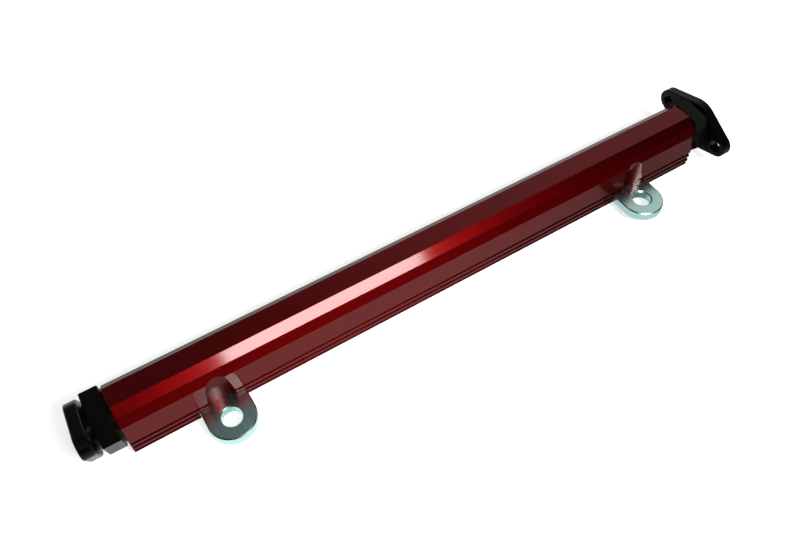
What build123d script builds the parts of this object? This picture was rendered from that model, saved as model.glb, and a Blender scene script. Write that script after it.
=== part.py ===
from build123d import *
from math import cos, radians, sin, tan
import os

# Four-cylinder fuel rail, in millimetres. X runs along the rail, Y runs back from the bracket
# bolts towards the rail, Z is up. The origin lies midway between the two bracket bolt holes,
# on the face where the brackets seat.

# Extruded body. Its section is the same on both sides of the centre plane.
rail_length = 293.0
crown_width = 9.2          # flat on top
shoulder_run = 3.9         # first facet beside the crown
shoulder_drop = 3.2
haunch_run = 2.3           # second facet
haunch_drop = 4.4
cheek_lean = 1.2           # tall facet
cheek_drop = 10.25
groove_pitch = 2.95
groove_count = 3
groove_width = 1.55
groove_depth = 0.9
groove_rise = 0.3          # root of each groove above its lower lip
lowest_groove = 0.7        # height of the lowest groove's lower lip
foot_chamfer = 0.5
facet_radius = 0.35
end_chamfer = 0.2

# Fuel passage and injector sockets.
passage_diameter = 12.7
passage_height = 13.3
injector_pitch = 84.0
injector_count = 4
injector_bore = 14.0
injector_lead_in = 1.0

# Straight-thread ports with O-ring seats, 3/4-16.
thread_diameter = 19.05
thread_clearance = 0.1
port_thread_depth = 14.3
seat_depth = 2.5
seat_angle = 12.0

# Brackets: flat bar, let into the underside of the rail.
bolt_spacing = 216.0
bolt_hole = 8.7
wall_setback = 8.2         # bolt axis to the grooved wall
bracket_thickness = 4.76
bracket_width = 20.4
bracket_foot = 9.1         # how far the foot reaches in under the rail
bracket_corner = 5.0
bracket_chamfer = 0.5
bracket_clearance = 0.1

# Flat-head socket screws that hold each bracket, M4.
screw_diameter = 4.0
screw_length = 8.0
screw_head = 8.0
screw_head_angle = 90.0
screw_rim = 0.3            # straight land on the head's edge
screw_socket = 2.5
screw_socket_depth = 1.4
screw_tip_chamfer = 0.6
screw_clearance = 0.15
screw_spacing = 10.4
screw_inset = 4.1          # screw line, in from the grooved wall
tap_allowance = 1.0        # drilled depth past the screw's tip

# End adapters: threaded tube with a two-bolt flange, set by a lock nut.
nut_flats = 23.8
nut_thickness = 7.5
nut_edge_break = 0.3
nut_lead_in = 0.6
washer_diameter = 23.6
washer_thickness = 1.0
flange_gap = 1.7           # lock nut to flange
flange_thickness = 5.0
flange_bolt_spacing = 34.8
flange_lobe_radius = 5.5
flange_hub_radius = 12.2
flange_chamfer = 0.4
flange_tapping = 5.0       # M6 tapping drill
flange_tap_chamfer = 0.5
socket_diameter = 14.2
socket_depth = 9.0
socket_lead_in = 0.8
adapter_bore = 11.0
adapter_reach = 11.1       # tube end, in from the port's face
tube_chamfer = 0.8
undercut_diameter = 16.3
ring_section = 1.78        # squeezed O-ring, across the gap between tube and seat
ring_width = 2.2           # squeezed O-ring, along the port
ring_clearance = 0.05

# How far each flange and nut is turned about the rail's axis.
flange_turn = {"left": 139.0, "right": 8.0}
nut_turn = {"left": 48.5, "right": 6.7}

rail_width = crown_width + 2 * (shoulder_run + haunch_run + cheek_lean)
rail_height = lowest_groove + (groove_count - 1) * groove_pitch + groove_width
rail_height += cheek_drop + haunch_drop + shoulder_drop
rail_front = wall_setback
rail_centre = rail_front + rail_width / 2
half_length = rail_length / 2
sides = {"left": -1, "right": 1}
bracket_x = {name: side * bolt_spacing / 2 for name, side in sides.items()}
screw_y = wall_setback + screw_inset
screw_places = [(-screw_spacing / 2, screw_y), (screw_spacing / 2, screw_y)]
tube_diameter = thread_diameter - 2 * thread_clearance
flange_start = washer_thickness + nut_thickness + flange_gap
ring_radius = undercut_diameter / 2 + ring_clearance + ring_section / 2
seat_radius = ring_radius + ring_section / 2 + ring_clearance
seat_flare = seat_depth * tan(radians(seat_angle))

os.makedirs("parts", exist_ok=True)


def finish(part, name):
    part.label = name
    export_step(part, f"parts/{name}.step")


def port_plane(side):
    """Plane on the rail's end face, centred on the port and facing outwards."""
    origin = (side * half_length, rail_centre, passage_height)
    return Plane(origin=origin, x_dir=(0, 1, 0), z_dir=(side, 0, 0))


def turned(plane, angle):
    """The same plane, with its local X turned by an angle from +Y towards +Z."""
    across = (0, cos(radians(angle)), sin(radians(angle)))
    return Plane(origin=plane.origin, x_dir=across, z_dir=plane.z_dir)


def section_plane(port):
    """Plane through the port's axis: local X is the radius, local Y runs outwards."""
    return Plane(origin=port.origin, x_dir=port.x_dir, z_dir=-port.y_dir)


# Width and height of each facet, from the grooves up to the crown.
facets = [(cheek_lean, cheek_drop), (haunch_run, haunch_drop), (shoulder_run, shoulder_drop)]


def side_outline():
    """Points of one side, from the bottom up, as (distance in from the widest point, height)."""
    points = [(foot_chamfer, 0.0)]
    for groove in range(groove_count):
        lower_lip = lowest_groove + groove * groove_pitch
        points.append((0.0, lower_lip))
        points.append((groove_depth, lower_lip + groove_rise))
        points.append((0.0, lower_lip + groove_width))
    inset, height = points[-1]
    for run, drop in facets:
        inset += run
        height += drop
        points.append((inset, height))
    return points


# Rail body: aluminium extrusion, bored, ported and pocketed.
front_side = [(rail_front + inset, height) for inset, height in side_outline()]
back_side = [(2 * rail_centre - y, z) for y, z in reversed(front_side)]

with BuildPart() as rail_body:
    with BuildSketch(Plane.YZ) as section:
        with BuildLine():
            Polyline(*front_side, *back_side, close=True)
        make_face()
        facet_corners = section.vertices().sort_by(Axis.Y)[-2 * len(facets):]
        fillet(facet_corners, facet_radius)
    extrude(amount=half_length, both=True)
    for end in (rail_body.faces().sort_by(Axis.X)[0], rail_body.faces().sort_by(Axis.X)[-1]):
        chamfer(end.outer_wire().edges(), end_chamfer)
    with BuildSketch(port_plane(-1)):
        Circle(passage_diameter / 2)
    extrude(amount=-rail_length, mode=Mode.SUBTRACT)
    for side in sides.values():
        with BuildSketch(port_plane(side)):
            Circle(thread_diameter / 2)
        extrude(amount=-port_thread_depth, mode=Mode.SUBTRACT)
        with Locations(port_plane(side)):
            Cone(
                seat_radius - seat_flare / 2,
                seat_radius + seat_flare / 2,
                seat_depth,
                align=(Align.CENTER, Align.CENTER, Align.MAX),
                mode=Mode.SUBTRACT,
            )
    # Injector sockets, from below up into the passage.
    with BuildSketch():
        with Locations((0, rail_centre)):
            with GridLocations(injector_pitch, 0, injector_count, 1):
                Circle(injector_bore / 2)
    extrude(amount=passage_height, mode=Mode.SUBTRACT)
    mouths = rail_body.edges().filter_by(GeomType.CIRCLE).group_by(Axis.Z)[0]
    chamfer(mouths, injector_lead_in)
    for name, x in bracket_x.items():
        # Pocket for the bracket's foot.
        pocket_width = bracket_width + 2 * bracket_clearance
        pocket_depth = bracket_foot + bracket_clearance
        with BuildSketch():
            with Locations((x, rail_front + pocket_depth)):
                RectangleRounded(
                    pocket_width,
                    2 * pocket_depth,
                    bracket_corner + bracket_clearance,
                    align=(Align.CENTER, Align.MAX),
                )
        extrude(amount=bracket_thickness, mode=Mode.SUBTRACT)
        # Round relief above the bracket, concentric with the bolt, for its head and a socket.
        with BuildSketch(Plane.XY.offset(bracket_thickness)):
            with Locations((x, 0)):
                Circle(bracket_width / 2)
        extrude(amount=rail_height, mode=Mode.SUBTRACT)
        # Tapped holes for the bracket screws, drilled with a point.
        with BuildSketch(Plane.XY.offset(bracket_thickness)):
            with Locations(*[(x + dx, y) for dx, y in screw_places]):
                Circle(screw_diameter / 2 + thread_clearance)
        extrude(amount=screw_length + tap_allowance - bracket_thickness, mode=Mode.SUBTRACT)
finish(rail_body.part, "rail_body")

# Brackets: flat bar with a round outer end, the bolt hole, and two countersunk screw holes.
head_slope = tan(radians(screw_head_angle / 2))
head_depth = screw_rim + (screw_head - screw_diameter) / 2 / head_slope
sink_radius = screw_head / 2 + screw_rim * head_slope + screw_clearance
for name, x in bracket_x.items():
    with BuildPart() as bracket:
        with BuildSketch():
            with Locations((x, 0)):
                Circle(bracket_width / 2)
            with Locations((x, wall_setback + bracket_foot)):
                RectangleRounded(
                    bracket_width,
                    2 * (wall_setback + bracket_foot),
                    bracket_corner,
                    align=(Align.CENTER, Align.MAX),
                )
            with Locations((x, 0)):
                Rectangle(
                    2 * bracket_width,
                    2 * bracket_width,
                    align=(Align.CENTER, Align.MAX),
                    mode=Mode.SUBTRACT,
                )
                Circle(bracket_width / 2)
        extrude(amount=bracket_thickness)
        with Locations((x, 0, bracket_thickness)):
            Hole(bolt_hole / 2)
        rims = bracket.edges().group_by(Axis.Z)
        chamfer(rims[-1] + rims[0], bracket_chamfer)
        with Locations(*[Plane((x + dx, y, 0), z_dir=(0, 0, -1)) for dx, y in screw_places]):
            CounterSinkHole(
                screw_diameter / 2 + screw_clearance,
                sink_radius,
                depth=bracket_thickness,
                counter_sink_angle=screw_head_angle,
            )
    finish(bracket.part, f"{name}_bracket")

# Bracket screws.
for name, x in bracket_x.items():
    for number, (dx, y) in enumerate(screw_places, start=1):
        axis_plane = Plane(origin=(x + dx, y, 0), x_dir=(1, 0, 0), z_dir=(0, -1, 0))
        head = screw_head / 2
        shank = screw_diameter / 2
        with BuildPart() as screw:
            with BuildSketch(axis_plane):
                with BuildLine():
                    Polyline(
                        (0, 0),
                        (head, 0),
                        (head, screw_rim),
                        (shank, head_depth),
                        (shank, screw_length - screw_tip_chamfer),
                        (shank - screw_tip_chamfer, screw_length),
                        (0, screw_length),
                        close=True,
                    )
                make_face()
            revolve(axis=Axis(axis_plane.origin, (0, 0, 1)))
            with BuildSketch(Plane.XY):
                with Locations((x + dx, y)):
                    RegularPolygon(screw_socket / 2, 6, major_radius=False)
            extrude(amount=screw_socket_depth, mode=Mode.SUBTRACT)
        finish(screw.part, f"{name}_bracket_screw_{number}")

# End fittings, from the port's face outwards.
for name, side in sides.items():
    port = port_plane(side)
    axis = Axis(port.origin, port.z_dir)
    flange_plane = turned(port, flange_turn[name]).offset(flange_start)

    # O-ring, squeezed between the tube and the port's seat.
    with BuildPart() as o_ring:
        with BuildSketch(section_plane(port)):
            with Locations((ring_radius, -seat_depth / 2)):
                Ellipse(ring_section / 2, ring_width / 2)
        revolve(axis=axis)
    finish(o_ring.part, f"{name}_port_o_ring")

    # Back-up washer between the lock nut and the rail.
    with BuildPart() as washer:
        with BuildSketch(port):
            Circle(washer_diameter / 2)
            Circle(undercut_diameter / 2 + thread_clearance, mode=Mode.SUBTRACT)
        extrude(amount=washer_thickness)
    finish(washer.part, f"{name}_backup_washer")

    # Lock nut: hexagon bar with its edges broken and a lead-in at both ends of the thread.
    nut_plane = turned(port, nut_turn[name]).offset(washer_thickness)
    with BuildPart() as lock_nut:
        with BuildSketch(nut_plane):
            RegularPolygon(nut_flats / 2, 6, major_radius=False)
            Circle(thread_diameter / 2, mode=Mode.SUBTRACT)
        extrude(amount=nut_thickness)
        inner_face, outer_face = lock_nut.faces().filter_by(axis).sort_by(axis)
        nut_rims = inner_face.outer_wire().edges() + outer_face.outer_wire().edges()
        chamfer(nut_rims, nut_edge_break)
        chamfer(lock_nut.edges().filter_by(GeomType.CIRCLE), nut_lead_in)
    finish(lock_nut.part, f"{name}_lock_nut")

    # Flange adapter: tube, undercut, thread and two-bolt flange, turned from one bar.
    tube = tube_diameter / 2
    neck = undercut_diameter / 2
    flange_end = flange_start + flange_thickness
    with BuildPart() as adapter:
        with BuildSketch(section_plane(port)):
            with BuildLine():
                Polyline(
                    (adapter_bore / 2, -adapter_reach),
                    (tube - tube_chamfer, -adapter_reach),
                    (tube, tube_chamfer - adapter_reach),
                    (tube, -seat_depth),
                    (neck, -seat_depth),
                    (neck, washer_thickness),
                    (tube, washer_thickness),
                    (tube, flange_end),
                    (adapter_bore / 2, flange_end),
                    close=True,
                )
            make_face()
        revolve(axis=axis)
        with BuildSketch(flange_plane):
            Circle(flange_hub_radius)
            with Locations((-flange_bolt_spacing / 2, 0), (flange_bolt_spacing / 2, 0)):
                Circle(flange_lobe_radius)
            make_hull()
            Circle(tube - tube_chamfer, mode=Mode.SUBTRACT)
        extrude(amount=flange_thickness)
        inner_face, outer_face = adapter.faces().filter_by(axis).sort_by(axis)[-2:]
        flange_rims = inner_face.outer_wire().edges() + outer_face.outer_wire().edges()
        chamfer(flange_rims, flange_chamfer)
        with BuildSketch(flange_plane.offset(flange_thickness)):
            Circle(socket_diameter / 2)
        extrude(amount=-socket_depth, mode=Mode.SUBTRACT)
        mouth = adapter.faces().sort_by(axis)[-1].inner_wires().edges()
        chamfer(mouth, socket_lead_in)
        with BuildSketch(flange_plane):
            with Locations((-flange_bolt_spacing / 2, 0), (flange_bolt_spacing / 2, 0)):
                Circle(flange_tapping / 2)
        extrude(amount=flange_thickness, mode=Mode.SUBTRACT)
        rims = adapter.edges().filter_by(GeomType.CIRCLE)
        rims = rims.filter_by(lambda edge: abs(edge.radius - flange_tapping / 2) < 0.01)
        chamfer(rims, flange_tap_chamfer)
    finish(adapter.part, f"{name}_flange_adapter")
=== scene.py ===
from math import cos, pi, radians, sin

import bmesh
import bpy
from mathutils import Euler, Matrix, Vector


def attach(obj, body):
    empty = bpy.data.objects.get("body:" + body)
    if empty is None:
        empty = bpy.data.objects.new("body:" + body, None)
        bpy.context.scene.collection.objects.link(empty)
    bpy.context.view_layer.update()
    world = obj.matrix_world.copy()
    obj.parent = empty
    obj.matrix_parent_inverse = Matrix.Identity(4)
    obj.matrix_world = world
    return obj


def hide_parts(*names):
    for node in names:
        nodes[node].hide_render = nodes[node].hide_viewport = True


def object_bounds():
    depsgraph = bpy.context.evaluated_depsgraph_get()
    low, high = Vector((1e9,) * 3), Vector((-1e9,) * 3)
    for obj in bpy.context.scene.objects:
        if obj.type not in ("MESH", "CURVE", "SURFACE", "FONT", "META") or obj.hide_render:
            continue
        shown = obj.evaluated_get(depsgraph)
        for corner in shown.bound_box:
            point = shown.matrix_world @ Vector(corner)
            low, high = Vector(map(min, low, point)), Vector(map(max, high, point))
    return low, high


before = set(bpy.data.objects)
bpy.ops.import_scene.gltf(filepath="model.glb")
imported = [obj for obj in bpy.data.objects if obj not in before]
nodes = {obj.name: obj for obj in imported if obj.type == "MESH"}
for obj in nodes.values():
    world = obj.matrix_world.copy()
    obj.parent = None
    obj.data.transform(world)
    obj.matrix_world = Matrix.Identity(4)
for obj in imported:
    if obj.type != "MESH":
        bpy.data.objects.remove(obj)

cad_box = [list(corner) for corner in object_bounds()]


# Rail body. An aluminium extrusion with facets above and grooves below, cut to length, bored and
# ported, and dyed red in the anodising bath after all the machining.
mm = 0.001
axis_y = 20.2 * mm


def linear(hex_colour):
    """The linear colour of an sRGB hex value, with its alpha."""
    channels = [int(hex_colour[i:i + 2], 16) / 255 for i in (0, 2, 4)]
    return [c / 12.92 if c <= 0.04045 else ((c + 0.055) / 1.055) ** 2.4 for c in channels] + [1.0]


def new_material(name):
    """A new node material and its Principled shader."""
    material = bpy.data.materials.new(name)
    material.use_nodes = True
    return material, material.node_tree.nodes["Principled BSDF"]


def add(material, kind, inputs=(), **settings):
    """Adds a node with its settings. An input takes a value, or the output that it is linked to."""
    node = material.node_tree.nodes.new(kind)
    for name, value in settings.items():
        setattr(node, name, value)
    connect(material, node, inputs)
    return node


def connect(material, node, inputs):
    """Sets a node's inputs to values, or links them to outputs."""
    for socket, value in dict(inputs).items():
        if isinstance(value, bpy.types.NodeSocket):
            material.node_tree.links.new(value, node.inputs[socket])
        else:
            node.inputs[socket].default_value = value


def stretched_noise(material, lengths, detail=3.0):
    """Noise whose grains have the given lengths along X, Y and Z."""
    place = add(material, "ShaderNodeTexCoord")
    scaled = add(
        material, "ShaderNodeMapping",
        {"Vector": place.outputs["Object"], "Scale": [1 / length for length in lengths]},
    )
    noise = add(
        material, "ShaderNodeTexNoise",
        {"Vector": scaled.outputs["Vector"], "Scale": 1.0, "Detail": detail},
    )
    return noise.outputs["Fac"]


def spread(material, noise, low, high):
    """Spreads the middle of a noise over a range of values."""
    mapped = add(
        material, "ShaderNodeMapRange",
        {"Value": noise, "From Min": 0.3, "From Max": 0.7, "To Min": low, "To Max": high},
    )
    return mapped.outputs["Result"]


def relief(material, height, strength, depth):
    """Bump of a given depth."""
    bump = add(
        material, "ShaderNodeBump",
        {"Height": height, "Strength": strength, "Distance": depth},
    )
    return bump.outputs["Normal"]


def tint(material, noise, first, second):
    """A colour that drifts between two hex values."""
    mix = add(
        material, "ShaderNodeMix",
        {"Factor": noise, "A": linear(first), "B": linear(second)},
        data_type="RGBA",
    )
    return mix.outputs["Result"]


def paint(node_name, material):
    """Puts a material on a CAD node."""
    slots = nodes[node_name].data.materials
    slots.clear()
    slots.append(material)


# Dyed oxide on aluminium. The metal's reflection comes back deep red and is drawn out across
# the bar by fine lines from the die. The clear oxide on top adds a sharp, colourless one. The
# grooves get painted shade: their colour is darkened towards the roots, where shade falls.
wall_y, wall_top = 8.2 * mm, 8.15 * mm
shade_is_full, shade_ends = 0.5 * mm, 0.95 * mm      # depths below the wall where the painted groove shade is full and where it ends
red_anodised, shader = new_material("red_anodised_aluminium")
die_lines = stretched_noise(red_anodised, (220 * mm, 0.5 * mm, 0.5 * mm))
dye_patches = stretched_noise(red_anodised, (30 * mm, 30 * mm, 30 * mm), detail=2.0)
die_relief = relief(red_anodised, die_lines, 0.1, 0.02 * mm)
across_the_bar = add(red_anodised, "ShaderNodeTangent", direction_type="RADIAL", axis="X")
place = add(red_anodised, "ShaderNodeTexCoord")
across_and_up = add(red_anodised, "ShaderNodeSeparateXYZ", {"Vector": place.outputs["Object"]})
from_the_middle = add(
    red_anodised, "ShaderNodeMath",
    {0: across_and_up.outputs["Y"], 1: axis_y}, operation="SUBTRACT",
)
half_width = add(
    red_anodised, "ShaderNodeMath", {0: from_the_middle.outputs["Value"]}, operation="ABSOLUTE",
)
into_the_wall = add(
    red_anodised, "ShaderNodeMapRange",
    {"Value": half_width.outputs["Value"], "From Min": axis_y - wall_y,
     "From Max": axis_y - wall_y - shade_is_full},
)
outside_the_roots = add(
    red_anodised, "ShaderNodeMath",
    {0: half_width.outputs["Value"], 1: axis_y - wall_y - shade_ends},
    operation="GREATER_THAN",
)
below_the_top = add(
    red_anodised, "ShaderNodeMath",
    {0: across_and_up.outputs["Z"], 1: wall_top}, operation="LESS_THAN",
)
in_the_wall = add(
    red_anodised, "ShaderNodeMath",
    {0: outside_the_roots.outputs["Value"], 1: below_the_top.outputs["Value"]},
    operation="MULTIPLY",
)
groove_shade_mask = add(
    red_anodised, "ShaderNodeMath",
    {0: into_the_wall.outputs["Result"], 1: in_the_wall.outputs["Value"]}, operation="MULTIPLY",
)
# Painted shade: the colour is mixed towards the darker 400304 at the groove roots, on top of the
# dye's own drift.
dye_and_groove_shade = add(
    red_anodised, "ShaderNodeMix",
    {"Factor": groove_shade_mask.outputs["Value"],
     "A": tint(red_anodised, dye_patches, "5c0405", "640406"), "B": linear("400304")},
    data_type="RGBA",
)
connect(
    red_anodised, shader,
    {"Base Color": dye_and_groove_shade.outputs["Result"],
     "Metallic": 1.0, "Specular Tint": linear("7a2020"),
     "Roughness": spread(red_anodised, die_lines, 0.41, 0.45),
     "Anisotropic": 0.57, "Tangent": across_the_bar.outputs["Tangent"],
     "Coat Weight": 0.36, "Coat Roughness": 0.08, "Coat IOR": 1.5,
     "Normal": die_relief, "Coat Normal": die_relief},
)
paint("rail_body", red_anodised)


# Brackets. Flat aluminium bar with a milled round end, a drilled bolt hole and broken edges,
# brushed along its length and anodised clear, so the metal's pale grey shows with a cool sheen.
# The brushing is drawn as bands of about 1 mm, coarser than the real lines.
clear_anodised, shader = new_material("clear_anodised_aluminium")
brush_lines = stretched_noise(clear_anodised, (1.2 * mm, 16 * mm, 1.2 * mm), detail=1.0)
connect(
    clear_anodised, shader,
    {"Base Color": tint(clear_anodised, brush_lines, "aed2cd", "b6dad5"),
     "Metallic": 1.0,
     "Roughness": spread(clear_anodised, brush_lines, 0.25, 0.31)},
)
for side in ("left", "right"):
    paint(f"{side}_bracket", clear_anodised)


# Bracket screws. Zinc-plated steel, M4, with a flat head that sits flush under the bracket.
zinc_plate, shader = new_material("zinc_plated_steel")
zinc_grains = stretched_noise(zinc_plate, (0.6 * mm, 0.6 * mm, 0.6 * mm))
connect(
    zinc_plate, shader,
    {"Base Color": tint(zinc_plate, zinc_grains, "a9aeb2", "bcc0c0"),
     "Metallic": 1.0, "Roughness": spread(zinc_plate, zinc_grains, 0.22, 0.38)},
)
for side in ("left", "right"):
    for number in (1, 2):
        paint(f"{side}_bracket_screw_{number}", zinc_plate)


# O-rings in the ports. Moulded black nitrile rubber, with the fine grain of its mould.
nitrile, shader = new_material("nitrile_rubber")
mould_grain = stretched_noise(nitrile, (0.15 * mm, 0.15 * mm, 0.15 * mm))
connect(
    nitrile, shader,
    {"Base Color": tint(nitrile, mould_grain, "121212", "1a1a1a"),
     "Roughness": spread(nitrile, mould_grain, 0.5, 0.6),
     "Normal": relief(nitrile, mould_grain, 0.2, 0.01 * mm)},
)
for side in ("left", "right"):
    paint(f"{side}_port_o_ring", nitrile)


# Washers, lock nuts and flange adapters. Turned and milled from aluminium bar, then anodised
# black: a dark oxide over the rings of the lathe tool, about the rail's own axis.
axis_z = 13.3 * mm
ring_spacing = 0.2 * mm
black_anodised, shader = new_material("black_anodised_aluminium")
place = add(black_anodised, "ShaderNodeTexCoord")
from_the_axis = add(
    black_anodised, "ShaderNodeMapping",
    {"Vector": place.outputs["Object"], "Location": (0, -axis_y, -axis_z)},
)
tool_rings = add(
    black_anodised, "ShaderNodeTexWave",
    {"Vector": from_the_axis.outputs["Vector"], "Scale": pi / (10 * ring_spacing),
     "Distortion": 0.5, "Detail": 1.0},
    wave_type="RINGS", rings_direction="X",
)
dye_patches = stretched_noise(black_anodised, (4 * mm, 4 * mm, 4 * mm))
connect(
    black_anodised, shader,
    {"Base Color": tint(black_anodised, dye_patches, "050402", "080705"),
     "Roughness": spread(black_anodised, dye_patches, 0.25, 0.3),
     "Specular IOR Level": 0.07,
     "Normal": relief(black_anodised, tool_rings.outputs["Fac"], 0.04, 0.01 * mm)},
)
for side in ("left", "right"):
    for piece in ("backup_washer", "lock_nut", "flange_adapter"):
        paint(f"{side}_{piece}", black_anodised)


# Bolt threads, M6 with a pitch of 1 mm. The flanges are tapped right through once their holes
# are drilled and countersunk, which leaves one helical groove in the wall of each hole.
pitch = 1.0 * mm
flange_middle, flange_thickness = 159.2 * mm, 5.0 * mm
bolt_offset = 17.4 * mm
flange_turn = {"left": 139.0, "right": 8.0}
inside_the_hole, thread_root = 2.42 * mm, 3.04 * mm
groove_mouth, groove_root = 0.92 * mm, 0.12 * mm
steps_a_turn = 24
merge_distance = 0.001 * mm
sharp_edge = radians(28)

# Cutting oil left in the threads makes them shinier than the dry oxide around them.
oiled_thread, shader = new_material("oiled_black_thread")
oil_smears = stretched_noise(oiled_thread, (0.8 * mm, 0.8 * mm, 0.8 * mm))
connect(
    oiled_thread, shader,
    {"Base Color": tint(oiled_thread, oil_smears, "0c0b09", "14120f"),
     "Roughness": spread(oiled_thread, oil_smears, 0.12, 0.2)},
)


def tap_groove(mesh, x, y, z):
    """Adds the helical bar that fills the groove of one tapped hole."""
    section = (
        (inside_the_hole, -groove_mouth / 2), (thread_root, -groove_root / 2),
        (thread_root, groove_root / 2), (inside_the_hole, groove_mouth / 2),
    )
    length = flange_thickness + 2 * pitch
    rings = []
    for step in range(round(length / pitch * steps_a_turn) + 1):
        angle = 2 * pi * step / steps_a_turn
        along = x - length / 2 + pitch * step / steps_a_turn
        ring = []
        for radius, offset in section:
            across = (y + radius * cos(angle), z + radius * sin(angle))
            ring.append(mesh.verts.new((along + offset, *across)))
        rings.append(ring)
    for near, far in zip(rings, rings[1:]):
        for i in range(len(section)):
            mesh.faces.new((near[i - 1], near[i], far[i], far[i - 1]))
    mesh.faces.new(rings[0])
    mesh.faces.new(reversed(rings[-1]))


def as_object(name, mesh):
    """Turns a bmesh into an object in the scene."""
    data = bpy.data.meshes.new(name)
    mesh.to_mesh(data)
    mesh.free()
    piece = bpy.data.objects.new(name, data)
    bpy.context.scene.collection.objects.link(piece)
    return piece


for side, end in (("left", -1), ("right", 1)):
    source = nodes[f"{side}_flange_adapter"].data
    blank = bmesh.new()
    corners = [blank.verts.new(vertex.co) for vertex in source.vertices]
    for face in source.polygons:
        blank.faces.new([corners[i] for i in face.vertices])
    bmesh.ops.remove_doubles(blank, verts=blank.verts, dist=merge_distance)
    tapped = as_object(f"{side}_tapped_adapter", blank)

    grooves = bmesh.new()
    turn = radians(flange_turn[side])
    for offset in (-bolt_offset, bolt_offset):
        hole_y, hole_z = axis_y + offset * cos(turn), axis_z + offset * sin(turn)
        tap_groove(grooves, end * flange_middle, hole_y, hole_z)
    bmesh.ops.recalc_face_normals(grooves, faces=grooves.faces)
    cutter = as_object(f"{side}_tap", grooves)
    tapped.data.materials.append(black_anodised)
    cutter.data.materials.append(oiled_thread)

    cut = tapped.modifiers.new("tap", "BOOLEAN")
    cut.operation = "DIFFERENCE"
    cut.solver = "EXACT"
    cut.material_mode = "TRANSFER"
    cut.object = cutter
    cut_mesh = bpy.data.meshes.new_from_object(
        tapped.evaluated_get(bpy.context.evaluated_depsgraph_get()),
    )
    tapped.modifiers.clear()
    tapped.data = cut_mesh
    bpy.data.objects.remove(cutter)
    cut_mesh.shade_smooth()
    cut_mesh.set_sharp_from_angle(angle=sharp_edge)
    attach(tapped, "root")
    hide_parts(f"{side}_flange_adapter")


# Studio floor: a white matt board just under the lowest point of the part, which still takes the
# part's shadow. A glow whitens it everywhere for the camera, and for reflections only behind the
# rail and along its left half.
board_left, board_right = -0.45, 0.60
board_front, board_back = -0.19, 0.60
board_gap = 0.05 * mm
board_lift = 0.75
lift_starts, lift_is_full = -20 * mm, 80 * mm
front_lift = 0.6
front_lift_full, front_lift_ends = 0 * mm, 140 * mm
eye_lift = 0.7             # least that the camera sees added
bpy.ops.mesh.primitive_plane_add(
    size=1.0,
    location=((board_left + board_right) / 2, (board_front + board_back) / 2,
              cad_box[0][2] - board_gap),
)
board = bpy.context.object
board.name = "studio_board"
board.scale = (board_right - board_left, board_back - board_front, 1.0)
white_paint, shader = new_material("white_paint")
ray = add(white_paint, "ShaderNodeLightPath")
seen_or_shiny = add(
    white_paint, "ShaderNodeMath",
    {0: ray.outputs["Is Camera Ray"], 1: ray.outputs["Is Glossy Ray"]}, operation="MAXIMUM",
)
seen = add(
    white_paint, "ShaderNodeMath",
    {0: seen_or_shiny.outputs["Value"], 1: ray.outputs["Is Transmission Ray"]},
    operation="MAXIMUM",
)
board_place = add(white_paint, "ShaderNodeNewGeometry")
board_axes = add(white_paint, "ShaderNodeSeparateXYZ", {"Vector": board_place.outputs["Position"]})
behind_the_rail = add(
    white_paint, "ShaderNodeMapRange",
    {"Value": board_axes.outputs["Y"], "From Min": lift_starts, "From Max": lift_is_full,
     "To Max": board_lift},
    interpolation_type="SMOOTHSTEP",
)
before_the_rail = add(
    white_paint, "ShaderNodeMapRange",
    {"Value": board_axes.outputs["X"], "From Min": front_lift_full, "From Max": front_lift_ends,
     "To Min": front_lift, "To Max": 0.0},
    interpolation_type="SMOOTHSTEP",
)
to_the_eye = add(
    white_paint, "ShaderNodeMath",
    {0: ray.outputs["Is Camera Ray"], 1: eye_lift}, operation="MULTIPLY",
)
in_reflections = add(
    white_paint, "ShaderNodeMath",
    {0: behind_the_rail.outputs["Result"], 1: before_the_rail.outputs["Result"]},
    operation="MAXIMUM",
)
board_glow = add(
    white_paint, "ShaderNodeMath",
    {0: in_reflections.outputs["Value"], 1: to_the_eye.outputs["Value"]}, operation="MAXIMUM",
)
lift = add(
    white_paint, "ShaderNodeMath",
    {0: seen.outputs["Value"], 1: board_glow.outputs["Value"]}, operation="MULTIPLY",
)
connect(
    white_paint, shader,
    {"Base Color": linear("e4e5e5"), "Roughness": 0.9,
     "Emission Color": linear("ffffff"), "Emission Strength": lift.outputs["Value"]},
)
board.data.materials.append(white_paint)


# Lamps: a bright softbox in front of the rail, whose reflection lies along the shoulder facet,
# and a wide dim panel behind the left end.
def softbox(name, place, target, size, strength):
    """An area lamp that faces a target, with a given radiance."""
    lamp = bpy.data.lights.new(name, "AREA")
    lamp.shape = "RECTANGLE"
    lamp.size, lamp.size_y = size
    lamp.energy = strength * pi * size[0] * size[1]
    holder = bpy.data.objects.new(name, lamp)
    holder.location = place
    holder.rotation_euler = (Vector(target) - Vector(place)).to_track_quat("-Z", "Y").to_euler()
    bpy.context.scene.collection.objects.link(holder)
    return holder


rail_middle = (0, 0.020, 0.013)
front_place, front_size, front_radiance = (0.071, -0.407, 0.492), (0.27, 0.13), 41.0
fill_place, fill_size, fill_radiance = (-0.55, 0.60, 0.55), (0.5, 0.4), 1.0
softbox("front_softbox", front_place, rail_middle, front_size, front_radiance)
softbox("back_fill", fill_place, rail_middle, fill_size, fill_radiance)


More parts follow.
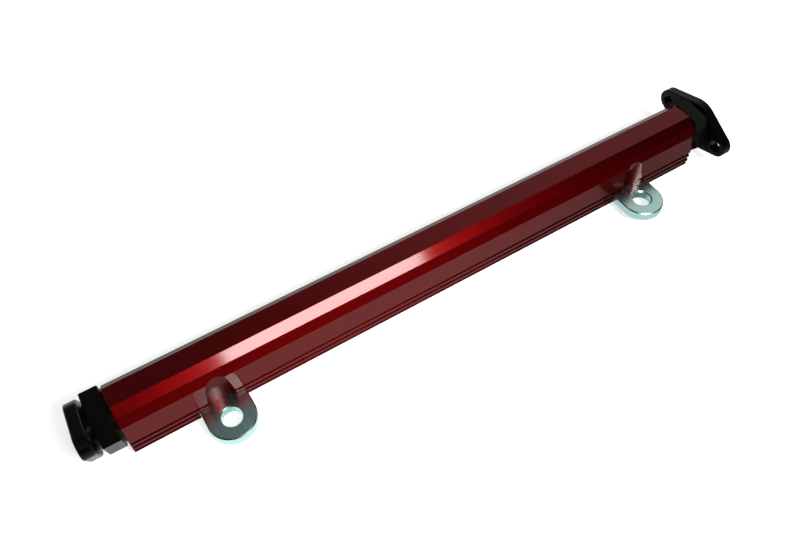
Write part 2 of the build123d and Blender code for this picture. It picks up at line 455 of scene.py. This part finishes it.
# The room: dark in front, light overhead and behind, and brightest behind the right end. Each
# range is of the direction's own X, Y or Z, from -1 to 1.
right_starts, right_is_full = 0.05, 0.58
left_glow, right_glow = 0.12, 0.85
behind_starts, behind_is_full = -0.15, 0.35
overhead_starts, overhead_is_full = 0.86, 0.98
dark_glow = 0.015
room = bpy.data.worlds.new("studio_room")
bpy.context.scene.world = room
room.use_nodes = True
look = add(room, "ShaderNodeTexCoord")
split = add(room, "ShaderNodeSeparateXYZ", {"Vector": look.outputs["Generated"]})
to_the_right = add(
    room, "ShaderNodeMapRange",
    {"Value": split.outputs["X"], "From Min": right_starts, "From Max": right_is_full,
     "To Min": left_glow, "To Max": right_glow},
    interpolation_type="SMOOTHSTEP",
)
behind = add(
    room, "ShaderNodeMapRange",
    {"Value": split.outputs["Y"], "From Min": behind_starts, "From Max": behind_is_full},
    interpolation_type="SMOOTHSTEP",
)
overhead = add(
    room, "ShaderNodeMapRange",
    {"Value": split.outputs["Z"], "From Min": overhead_starts, "From Max": overhead_is_full},
    interpolation_type="SMOOTHSTEP",
)
lit_part = add(
    room, "ShaderNodeMath",
    {0: behind.outputs["Result"], 1: overhead.outputs["Result"]}, operation="MAXIMUM",
)
glow = add(
    room, "ShaderNodeMath",
    {0: to_the_right.outputs["Result"], 1: lit_part.outputs["Value"], 2: dark_glow},
    operation="MULTIPLY_ADD",
)
connect(room, room.node_tree.nodes["Background"], {"Color": glow.outputs["Value"]})


# Camera at the height and angle of a person who looks down on the bench.
camera_place = Vector((-121.85, -160.17, 287.34)) * mm
camera_aim = Vector((-15.37, 22.2, 13.0)) * mm
camera_roll = radians(-1.9)
camera = bpy.data.cameras.new("camera")
camera.sensor_width = 36.0
camera.lens = 35.38
camera.clip_start = 0.01
holder = bpy.data.objects.new("camera", camera)
holder.location = camera_place
aim = (camera_aim - camera_place).to_track_quat("-Z", "Y")
holder.rotation_euler = (aim @ Euler((0, 0, camera_roll)).to_quaternion()).to_euler()
bpy.context.scene.collection.objects.link(holder)
bpy.context.scene.camera = holder

view = bpy.context.scene.view_settings
view.view_transform = "Standard"
